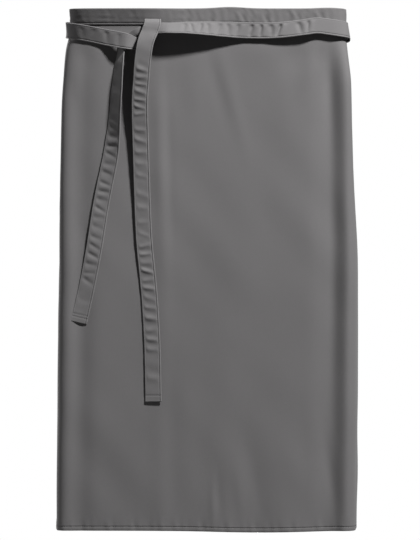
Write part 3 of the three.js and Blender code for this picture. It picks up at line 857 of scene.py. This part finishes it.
# %% Routes of the tails
SHORT_TAIL = [
    # down as a share of the tail, along and out in tie widths, turn, lean, share of the width left
    (0.082, -1.78, 0.20, 88, 52, 0.74),
    (0.120, -1.86, 0.33, 90, 54, 0.92),
    (0.205, -2, 0.41, 91, 48, 1),
    (0.290, -2.12, 0.35, 92, 44, 1),
    (0.360, -2.25, 0.25, 93, 32, 1),
    (0.435, -2.43, 0.15, 96, 16, 1),
    (0.530, -2.78, 0.08, 100, 6, 1),
    (0.625, -3.12, 0.02, 101, 1, 1),
    (0.750, -3.52, 0.02, 100, 0, 1),
    (0.870, -3.92, 0.01, 100, 0, 1),
    (0.960, -4.26, 0, 100, 0, 1),
    (1.000, -4.42, -0.01, 100, 0, 1),
]
LONG_TAIL = [
    # down, along, out, turn, lean, share of the width left
    (0.034, -0.26, 0.88, 90, 0, 1),
    (0.086, -0.41, 0.82, 89, 1, 1),
    (0.134, -0.50, 0.7, 90, 3, 1),
    (0.196, -0.6, 0.54, 90, 5, 1),
    (0.298, -0.58, 0.31, 90, 4, 1),
    (0.435, -0.5, 0.16, 90, 2, 1),
    (0.564, -0.44, 0.06, 89, 0, 1),
    (0.645, -0.27, 0.03, 87, 0, 1),
    (0.726, -0.08, 0.01, 87, 0, 1),
    (0.847, 0.1, 0, 89, 0, 1),
    (0.960, 0.18, -0.01, 89, 0, 1),
    (1.000, 0.2, -0.01, 89, 0, 1),
]

# %% Routes round the waist
SHORT_TIE_ROUND = [
    # round (0 at the knot, 1 at the side, 2 at the panel's back edge, 3 at the sewn end), up, layer, lean
    (3.00, 0.84, 0, 0),
    (2.80, 0.84, 0, 0),
    (2.62, 0.70, 0, 0),
    (2.35, 0.15, 0, 3),
    (2.10, -0.25, 0, 5),
    (1.90, -0.32, 0, 6),
    (1.50, -0.22, 0, 8),
    (1.10, -0.12, 0, 9),
    (0.90, 0.00, 0, 9),
    (0.80, 0.18, 0, 8),
    (0.735, 0.28, 0, 10),
    (0.675, 0.17, 0, 14),
    (0.585, 0.02, 0, 12),
    (0.500, -0.03, 0, 8),
    (0.405, -0.01, 0, 8),
    (0.315, 0.05, 0, 22),
]
LONG_TIE_ROUND = [
    # round, up, layer, lean
    (3.00, 0.84, 0, 0),
    (2.80, 0.84, 0.4, 0),
    (2.60, 0.86, 1.4, 0),
    (2.20, 0.86, 1.6, 0),
    (1.95, 0.84, 1.3, 0),
    (1.85, 0.78, 1.1, 0),
    (1.65, 0.56, 0.3, 3),
    (1.40, 0.30, 0, 6),
    (1.15, 0.16, 0, 11),
    (0.92, 0.09, 0, 9),
    (0.72, -0.02, 0.2, -12),
]

# %% From the tables to places on the cloth
CURVE_STEPS = 24


def round_places(rows, side):
    """Places of a tie round the waist, as length, height, stand-off, turn and lean."""
    half = float(np.interp(-KNOT_DROP, levels, half_lengths))
    side_length = float(np.interp(-KNOT_DROP, levels, side_lengths))
    sewn_end = 2 * half - HALF_CLOTH + TIE_SEWN_LENGTH
    marks = [-KNOT_TO_LEFT, side * side_length, side * HALF_CLOTH, side * sewn_end]
    places = []
    for around, up, layer, lean in rows:
        tip = abs(math.sin(math.radians(lean))) / 2 * TIE_WIDTH
        places.append((float(np.interp(around, range(4), marks)), up * TIE_WIDTH - KNOT_DROP,
                       ON_BAND + layer * TIE_LAYER + tip, 0, lean, 1))
    return places


def knot_places(rows):
    """Places of a tie in the knot."""
    return [(along * TIE_WIDTH - KNOT_TO_LEFT, up * TIE_WIDTH - KNOT_DROP,
             ON_BAND + layer * TIE_LAYER + out * TIE_WIDTH, turn, lean, width)
            for along, up, out, layer, turn, lean, width in rows]


def tail_places(rows, tail_length):
    """Places of a tie's hanging end."""
    return [(along * TIE_WIDTH - KNOT_TO_LEFT, -KNOT_DROP - down * tail_length,
             ON_PANEL + out * TIE_WIDTH, turn, lean, width)
            for down, along, out, turn, lean, width in rows]


def through(places):
    """A smooth curve through the places, by Catmull and Rom's rule."""
    p = np.array(places, float)
    first = 2 * p[0] - p[1]
    last = 2 * p[-1] - p[-2]
    p = np.concatenate([[first], p, [last]])
    t = np.arange(CURVE_STEPS)[:, None] / CURVE_STEPS
    parts = []
    for a, b, c, d in zip(p[:-3], p[1:-2], p[2:-1], p[3:]):
        parts.append(0.5 * (2 * b + (c - a) * t + (2 * a - 5 * b + 4 * c - d) * t ** 2
                            + (3 * b - a - 3 * c + d) * t ** 3))
    return np.concatenate(parts + [p[-2:-1]])


# %% [markdown]
# A tape's stations are spread evenly along its length, one each millimetre and a quarter.
# At each the tape's cross direction is built from the cloth's right, up and out directions.

# %% Stations along a tie
STATION_STEP = 1.25 * MM


def unit(v):
    """The same directions, one metre long."""
    return v / np.linalg.norm(v, axis=-1, keepdims=True)


def tie_stations(places):
    """Middle points, cross directions and facing of a tape, and the length run at each."""
    fine = through(places)
    middle = on_cloth(fine[:, 0], fine[:, 1], fine[:, 2])
    run = run_along(middle)
    even = np.linspace(0, run[-1], int(run[-1] / STATION_STEP) + 1)
    length, z, out, turn, lean, width = (np.interp(even, run, fine[:, k]) for k in range(6))
    middle = on_cloth(length, z, out)
    right = unit(on_cloth(length + MM, z, out) - middle)
    away = unit(on_cloth(length, z, out + MM) - middle)
    turn = np.radians(turn)[:, None]
    lean = np.radians(lean)[:, None]
    up = np.array([0, 0, 1.0])
    across = (up * np.cos(turn) - right * np.sin(turn)) * np.cos(lean) - away * np.sin(lean)
    ahead = unit(np.gradient(middle, axis=0))
    across = unit(across - ahead * np.sum(across * ahead, axis=1, keepdims=True))
    facing = unit(np.cross(ahead, across))
    if np.sum(facing[0] * away[0]) < 0:
        facing = -facing
    return middle, across, facing, even, width, length, z


# %% [markdown]
# The tape itself is cloth folded lengthwise and sewn shut: one edge is the fold, the other is
# the seam. So its section is a flat one with a soft ridge along both edges and a groove
# where the stitches draw it in, 2.6 mm from the sewn edge. Its points lie close together there
# and far apart in between, which an even grid could only match with many more points.

# %% The tape's section
TIE_SEAM = 2.6 * MM
HALF_TIE = TIE_WIDTH / 2
SECTION_POINTS = [-12.5, -12.2, -11.7, -11.1, -10.5, -10.15, -9.9, -9.65, -9.3, -8.7, -7.6, -6, -4,
                  -2, 0, 2, 4, 6, 7.8, 9.2, 10.0, 10.5, 11.0, 11.7, 12.2, 12.5]
SECTION_ACROSS = np.array(SECTION_POINTS) * (HALF_TIE / SECTION_POINTS[-1])
print(len(SECTION_POINTS), "points across", round(float(SECTION_ACROSS[-1] * 2), 4), "m of tape")

# %% [markdown]
# The thread pulls the tape up into slanting creases, which the photograph shows in groups all
# along both tails. They could be painted as bump, but these are deep enough to throw shadows, so
# they are in the mesh. The tables say where each group lies, and a little chance keeps its
# creases from looking alike.

# %% Tables of the creases
SHORT_CREASES = [
    # kind, from, to, pitch, depth, breadth (mm; kind is along the waist or down the tail)
    ("along", 152, 136, 13, 1.8, 2.4),
    ("along", 109, 108, 20, 2.5, 2.4),
    ("along", 96, 60, 15, 1.9, 2.4),
    ("along", 44, 8, 13, 1.7, 2.4),
    ("along", 0, -40, 12, 1.3, 2.2),
    ("down", -78, -160, 26, 0.5, 3.0),
    ("down", -172, -420, 13.8, 0.75, 2.6),
    ("down", -434, -452, 18, 0.3, 3.0),
]
LONG_CREASES = [
    ("along", -192, -118, 19, 0.7, 3.4),
    ("down", -83, -84, 20, 1.2, 2.6),
    ("down", -95, -159, 10.8, 0.8, 2.2),
    ("down", -174, -250, 17.5, 0.75, 2.6),
    ("down", -272, -336, 21, 0.6, 3.0),
    ("down", -352, -405, 13, 1.05, 2.6),
    ("down", -417, -523, 15.5, 0.9, 2.6),
    ("down", -554, -555, 20, 0.5, 3.4),
]
print(len(SHORT_CREASES) + len(LONG_CREASES), "groups of creases")

# %% Creases
CREASE_SCATTER = 1.6
TAPE_WAVES = [23 * MM, 37 * MM]
TAPE_WAVE_DEPTH = 0.12 * MM
WAIST_ABOVE = -45 * MM
TAIL_BELOW = -60 * MM
ELSEWHERE = 0.2


def crease_station(kind, place, run, length, z):
    """The length run at a crease that is placed along the waist or down the tail."""
    if kind == "along":
        off = np.abs(length - place) + ELSEWHERE * (z < WAIST_ABOVE)
    else:
        off = np.abs(z - place) + ELSEWHERE * (z > TAIL_BELOW)
    return run[int(np.argmin(off)), 0]


def crease_relief(table, across, run, length, z, seed):
    """Slanting creases where the seam draws the tape in, with the cloth full between them."""
    chance = np.random.default_rng(seed)
    relief = TAPE_WAVE_DEPTH * waves(run + 0.3 * across, TAPE_WAVES, seed)
    inside = 1 - ramp(np.abs(across + 0.3 * MM), 6.5 * MM, 10.5 * MM)
    for kind, start, end, pitch, depth, breadth in table:
        for place in np.arange(start, end, math.copysign(pitch, end - start)):
            place = place + chance.uniform(-CREASE_SCATTER, CREASE_SCATTER)
            at = crease_station(kind, place * MM, run, length, z)
            push = depth * chance.uniform(0.9, 1.5) * MM
            gone = run - at + chance.uniform(-0.15, 0.45) * across
            reach = breadth * chance.uniform(1.1, 1.7) * MM
            lop = 0.75 + 0.25 * np.tanh((across + chance.uniform(-4, 6) * MM) / (4 * MM))
            dip = bell(gone, reach) - 0.35 * bell(gone + 2.0 * reach, 1.5 * reach)
            relief = relief - push * lop * inside * dip
    return relief


# %% Thickness and grooves of a tape
TAPE_SEAM_DEPTH = 0.55 * MM
FOLD_GROOVE_DEPTH = 0.18 * MM
FOLD_GROOVE = 2 * MM
END_ROW_DEPTH = 0.5 * MM
EDGE_RIDGE = 0.12 * MM


def half_thickness(across):
    """Half the tape's thickness, rounded off at both edges, with a soft ridge beside them."""
    edge = HALF_TIE - np.abs(across)
    half = TIE_WALL / 2 * (0.45 + 0.55 * np.sqrt(np.clip(edge / (0.9 * MM), 0, 1)))
    return half + EDGE_RIDGE * bell(edge - 1.1 * MM, 0.8 * MM)


def grooves(across, run, end_rows):
    """How far the stitches draw each face in, along both edges and across the tape's end."""
    sewn = TAPE_SEAM_DEPTH * bell(across + HALF_TIE - TIE_SEAM, 0.5 * MM)
    folded = FOLD_GROOVE_DEPTH * bell(across - HALF_TIE + FOLD_GROOVE, 0.5 * MM)
    ends = sum(END_ROW_DEPTH * bell(run - run[-1] + back, 0.8 * MM) for back in end_rows)
    return sewn + folded + ends


# %% Tapes
END_ROW_MARGIN = 2


def seam_lines(face, facing, run, end_rows):
    """The lines along which one face of a tape is stitched, with the way that it faces."""
    seam_at = int(np.argmin(np.abs(SECTION_ACROSS + HALF_TIE - TIE_SEAM)))
    lines = [(face[:, seam_at], facing)]
    for back in end_rows:
        at = int(np.argmin(np.abs(run - run[-1] + back)))
        line = face[at, END_ROW_MARGIN:-END_ROW_MARGIN]
        lines.append((line, np.broadcast_to(facing[at], line.shape)))
    return lines


def make_tie(name, places, creases, end_rows, seed):
    """A tape laid along its places, with the lines of its seams and its length."""
    middle, across, facing, run, width, length, z = tie_stations(places)
    u = SECTION_ACROSS[None, :]
    along = run[:, None]
    relief = crease_relief(creases, u, along, length, z, seed)
    half = half_thickness(u) - grooves(u, along, end_rows)
    base = middle[:, None, :] + across[:, None, :] * (u * width[:, None])[..., None]
    outer = base + facing[:, None, :] * (relief + half)[..., None]
    inner = base + facing[:, None, :] * (relief - half)[..., None]
    worn = bell(HALF_TIE - np.abs(u), 0.8 * MM) + 0.35 * bell(u + HALF_TIE - 1.2 * MM, 0.8 * MM)
    obj = walled(name, outer, inner, cloth_map(u, along), worn + 0 * along)
    obj.data.materials.append(tie_twill)
    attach(obj, "root")
    print(name, "length", round(float(run[-1]), 3), "m")
    lines = seam_lines(outer, facing, run, end_rows) + seam_lines(inner, -facing, run, end_rows)
    return obj, lines, float(run[-1])


# %% Both ties
SHORT_END_ROWS = (8.3 * MM, 12.7 * MM)
LONG_END_ROWS = (9.8 * MM,)
short_places = (round_places(SHORT_TIE_ROUND, 1) + knot_places(SHORT_TIE_KNOT)
                + tail_places(SHORT_TAIL, SHORT_TAIL_LENGTH))
long_places = (round_places(LONG_TIE_ROUND, -1) + knot_places(LONG_TIE_KNOT)
               + tail_places(LONG_TAIL, LONG_TAIL_LENGTH))
short_tie, short_rows, short_run = make_tie("short_tail_tape", short_places, SHORT_CREASES,
                                            SHORT_END_ROWS, seed=21)
long_tie, long_rows, long_run = make_tie("long_tail_tape", long_places, LONG_CREASES,
                                         LONG_END_ROWS, seed=31)
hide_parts("tie_short_tail")
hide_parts("tie_long_tail")

# %% [markdown]
# ## The stitches
# Every seam is a row of lockstitches about 2.8 mm long, sunk into the groove that the thread
# has drawn. They are real little bodies, so that they catch the light as thread does. An array
# modifier on a curve could place them. Here the seam lines are known as points, so each stitch
# is laid along its line in one go and all the stitches of a piece become one mesh.

# %% Thread
THREAD_DARK = (0.045, 0.044, 0.045, 1)
THREAD_LIGHT = (0.12, 0.118, 0.119, 1)

thread_finish = Finish("thread", roughness=0.75, sheen=0.05)
strands = thread_finish.node("ShaderNodeTexNoise", {"noise_dimensions": "3D"},
                             {"Scale": 1900.0, "Detail": 1.0})
thread_finish.give("Base Color", thread_finish.mix(strands, THREAD_DARK, THREAD_LIGHT))
thread = thread_finish.material

# %% One stitch
STITCH_PITCH = 2.8 * MM
STITCH_LENGTH = 2.2 * MM
STITCH_RADIUS = 0.24 * MM
STITCH_SIDES = 6
STITCH_SHOULDER = 0.34


def stitch_body():
    """Points of a stitch, in its lengths and radii, and its faces: pointed at both ends."""
    shape = [(-0.5, 0, 0)]
    for along in (-STITCH_SHOULDER, STITCH_SHOULDER):
        for k in range(STITCH_SIDES):
            a = 2 * math.pi * k / STITCH_SIDES
            shape.append((along, math.cos(a), math.sin(a)))
    shape.append((0.5, 0, 0))
    faces = []
    for k in range(STITCH_SIDES):
        near, near_next = 1 + k, 1 + (k + 1) % STITCH_SIDES
        far, far_next = near + STITCH_SIDES, near_next + STITCH_SIDES
        faces.append((0, near_next, near))
        faces.append((len(shape) - 1, far, far_next))
        faces.append((near, near_next, far_next, far))
    return np.array(shape), faces


# %% Rows of stitches
STITCH_AIM = 0.5 * MM


def stitch_row(points, facing):
    """Middles, directions and facings of the stitches along one line."""
    run = run_along(points)
    count = max(int(run[-1] / STITCH_PITCH), 2)
    at = (np.arange(count) + 0.5) * run[-1] / count

    def read(values, where):
        return np.stack([np.interp(where, run, values[:, k]) for k in range(3)], -1)

    ahead = read(points, at + STITCH_AIM) - read(points, at - STITCH_AIM)
    return read(points, at), unit(ahead), unit(read(facing, at))


def sew(name, rows):
    """One mesh of all the stitches in some rows."""
    middle, ahead, out = (np.concatenate(parts) for parts in zip(*(stitch_row(*row) for row in rows)))
    side = unit(np.cross(ahead, out))
    out = np.cross(side, ahead)
    shape, faces = stitch_body()
    points = (middle[:, None, :] + ahead[:, None, :] * shape[None, :, :1] * STITCH_LENGTH
              + side[:, None, :] * shape[None, :, 1:2] * STITCH_RADIUS
              + out[:, None, :] * shape[None, :, 2:] * STITCH_RADIUS)
    offsets = np.arange(len(middle)) * len(shape)
    obj = make_mesh(name, points, [tuple(i + o for i in face) for o in offsets for face in faces])
    turn_out(obj)
    obj.data.materials.append(thread)
    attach(obj, "root")
    print(name, len(middle), "stitches")


def cloth_row(length, z, out):
    """A seam line on the cloth, with its facing."""
    points = on_cloth(length, z, out)
    return points, unit(on_cloth(length, z, out + MM) - points)


# %% Seam lines of the panel and the waistband
SEAM_END = 2 * MM
STITCH_LIFT = 0.10 * MM
SIDE_STITCH_LIFT = 0.12 * MM
seam_length = np.linspace(-HALF_CLOTH + SEAM_END, HALF_CLOTH - SEAM_END, 900)
hem_z = HEM_Z + HEM_SEAM - hem_sag(seam_length, HEM_Z + HEM_SEAM)
hem_out = panel_relief(seam_length, HEM_Z + HEM_SEAM) + STITCH_LIFT
band_z = BAND_FOOT + BAND_SEAM + waist_rise(seam_length)
band_line = band_out(seam_length, BAND_SEAM) + band_tilt(seam_length, band_z) + STITCH_LIFT
panel_rows = [cloth_row(seam_length, hem_z, hem_out)]
side_z = np.linspace(BAND_FOOT - SEAM_END, HEM_Z + HEM_HEIGHT + SEAM_END, 500)
for side in (-1, 1):
    hem_length = np.full(side_z.shape, side * (HALF_CLOTH - SIDE_HEM_WIDTH + SEAM_END))
    side_out = panel_relief(hem_length, side_z) + SIDE_STITCH_LIFT
    panel_rows.append(cloth_row(hem_length, side_z, side_out))

sew("panel_stitches", panel_rows)
sew("band_stitches", [cloth_row(seam_length, band_z, band_line)])
sew("tape_stitches", short_rows + long_rows)

# %% [markdown]
# ## The floor, the light and the world
# The photograph has a white ground and one strong light from the upper right, in front: shadows
# fall to the lower left and are nearly black close under the ties, so there is little fill.
# A weak wide light keeps the left side from going black, and one behind lights the back.
# The apron is held up at the waist, so the floor lies below the hem, out of the picture. An
# image of a studio could light it too, but three lamps can be placed one by one.

# %% Floor
FLOOR_Z = -1.05
FLOOR_HALF = 1.6
FLOOR_SEEN = (0.82, 0.82, 0.82, 1)
FLOOR_GIVEN = (0.16, 0.16, 0.16, 1)


def make_floor():
    """A floor that looks pale and throws little light back on the cloth."""
    corners = [(-1, -1), (1, -1), (1, 1), (-1, 1)]
    points = [(FLOOR_HALF * x, FLOOR_HALF * y, FLOOR_Z) for x, y in corners]
    floor = make_mesh("floor", points, [(0, 1, 2, 3)])
    pale = Finish("pale_floor", roughness=0.8)
    seen = pale.node("ShaderNodeLightPath", output="Is Camera Ray")
    pale.give("Base Color", pale.mix(seen, FLOOR_GIVEN, FLOOR_SEEN))
    floor.data.materials.append(pale.material)


make_floor()
print("floor at", FLOOR_Z, "m")

# %% Lights
KEY_WAY = np.array([0.42, -0.45, 0.79])
KEY_DISTANCE = 3.6
KEY_CENTRE = np.array([0, 0, -0.2])
LIGHTS_AIM = np.array([0, 0, -0.35])


def make_light(name, place, size, energy):
    """A round area light that points at the middle of the apron."""
    data = bpy.data.lights.new(name, "AREA")
    data.shape = "DISK"
    data.size = size
    data.energy = energy
    light = bpy.data.objects.new(name, data)
    light.location = tuple(place)
    offset = LIGHTS_AIM - np.array(place)
    flat = math.hypot(offset[0], offset[1])
    light.rotation_euler = (math.atan2(flat, -offset[2]), 0, math.atan2(-offset[0], offset[1]))
    bpy.context.scene.collection.objects.link(light)
    print(name, [round(float(v), 2) for v in place], energy, "W")


LIGHTS = [
    # name, place in metres, metres across, watts
    ("key", KEY_DISTANCE * unit(KEY_WAY) + KEY_CENTRE, 0.42, 232),
    ("left_fill", (-3.2, 0.3, 0.2), 1.4, 22),
    ("back_key", (-1.6, 2.6, 1.6), 1.2, 110),
]
for light_row in LIGHTS:
    make_light(*light_row)

# %% World
WORLD_SEEN = 1.0
WORLD_FILL = 0.03


def make_world():
    """White where the camera looks, and nearly dark as a light."""
    world = bpy.data.worlds.new("studio")
    bpy.context.scene.world = world
    world.use_nodes = True
    studio = Nodes(world.node_tree, "Background")
    seen = studio.node("ShaderNodeLightPath", output="Is Camera Ray")
    level = studio.node("ShaderNodeMapRange", None, {
        "Value": seen, "To Min": WORLD_FILL, "To Max": WORLD_SEEN})
    studio.give("Strength", level)
    studio.shader.inputs["Color"].default_value = (1, 1, 1, 1)


make_world()
bpy.context.scene.view_settings.view_transform = "Standard"
print("world", WORLD_SEEN, "seen,", WORLD_FILL, "given")
